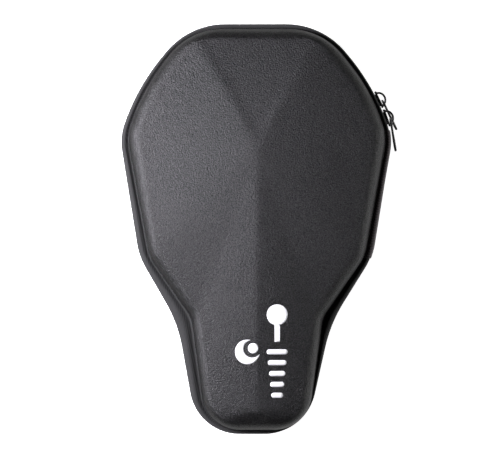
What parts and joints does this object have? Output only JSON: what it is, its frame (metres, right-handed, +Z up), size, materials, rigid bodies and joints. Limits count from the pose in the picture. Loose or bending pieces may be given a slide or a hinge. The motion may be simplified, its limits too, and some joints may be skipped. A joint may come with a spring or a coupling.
{
  "type": "paddle case",
  "caption": "Moulded hard case for a table tennis bat: faceted foam shells, a zip whose sliders carry looped pulls, and a folding fabric hinge that lets it open flat.",
  "frame": {"origin": "middle of the flat back face that the case lies on, on its left-right centre line and half way along its length", "axes": "+Y along the case from the handle end towards the blade end, +X towards the hinge side, +Z up through the zip towards the crown of the front shell"},
  "size_m": [0.1959, 0.29, 0.0565],
  "materials": {
    "shell_cloth": "fine pebbled polyester cloth moulded over EVA foam, satin",
    "lining_cloth": "brushed tricot lining, matte",
    "zip_tape": "woven twill tape, matte",
    "zip_coil": "nylon coil, satin",
    "binding": "woven binding tape, matte",
    "hinge_cloth": "coarse woven nylon, matte",
    "slider_metal": "black enamel on die-cast zinc, glossy",
    "pull_metal": "black enamel, satin to glossy",
    "elastic": "ribbed elastic webbing, matte",
    "mesh": "open knitted mesh, matte",
    "print_ink": "screen-printed white ink, satin"
  },
  "bodies": {
    "base": {"back_shell": "shell_cloth", "back_lining": "lining_cloth", "back_zip_tape": "zip_tape", "back_zip_coil": "zip_coil", "back_seam_binding": "binding", "back_hinge_leaf": "hinge_cloth", "upper_zip_stop": "slider_metal", "lower_zip_stop": "slider_metal", "handle_strap": "elastic", "strap_anchors": "binding"},
    "spine": {"hinge_panel": "hinge_cloth", "hinge_lining": "lining_cloth"},
    "lid": {"front_shell": "shell_cloth", "front_lining": "lining_cloth", "front_zip_tape": "zip_tape", "front_zip_coil": "zip_coil", "front_seam_binding": "binding", "front_hinge_leaf": "hinge_cloth", "mesh_pocket": "mesh", "pocket_hem": "binding", "printed_mark": "print_ink"},
    "slider_b": {"slider_b_body": "slider_metal", "slider_b_bail": "slider_metal"},
    "slider_a": {"slider_a_body": "slider_metal", "slider_a_bail": "slider_metal"},
    "pull_a": {"slider_a_pull": "pull_metal"},
    "pull_b": {"slider_b_pull": "pull_metal"}
  },
  "joints": [
    {"name": "spine_hinge", "type": "hinge", "parent": "base", "child": "spine", "pos_m": [0.08394, -0.01021, 0.0195], "axis": [0.1597, 0.9872, 0], "range_deg": [0, 89]},
    {"name": "lid_hinge", "type": "hinge", "parent": "spine", "child": "lid", "pos_m": [0.08394, -0.01021, 0.0345], "axis": [0.1597, 0.9872, 0], "range_deg": [0, 89], "deforming": ["front_zip_tape", "front_zip_coil"]},
    {"name": "slider_b_travel", "type": "hinge", "parent": "base", "child": "slider_b", "pos_m": [-0.05138, 0.02453, 0.027], "axis": [0, 0, 1], "range_deg": [0, 5.5]},
    {"name": "slider_a_travel", "type": "hinge", "parent": "slider_b", "child": "slider_a", "pos_m": [-0.05138, 0.02453, 0.027], "axis": [0, 0, 1], "range_deg": [0, 6]},
    {"name": "pull_b_swing", "type": "hinge", "parent": "slider_b", "child": "pull_b", "pos_m": [0.09531, 0.07737, 0.027], "axis": [0.0793, -0.4151, 0.9063], "range_deg": [0, 110]},
    {"name": "pull_a_swing", "type": "hinge", "parent": "slider_a", "child": "pull_a", "pos_m": [0.0899, 0.09049, 0.027], "axis": [0.1941, -0.3754, 0.9063], "range_deg": [0, 110]}
  ],
  "couplings": [
    {"joint": "lid_hinge", "follows": "spine_hinge", "ratio": 1}
  ]
}
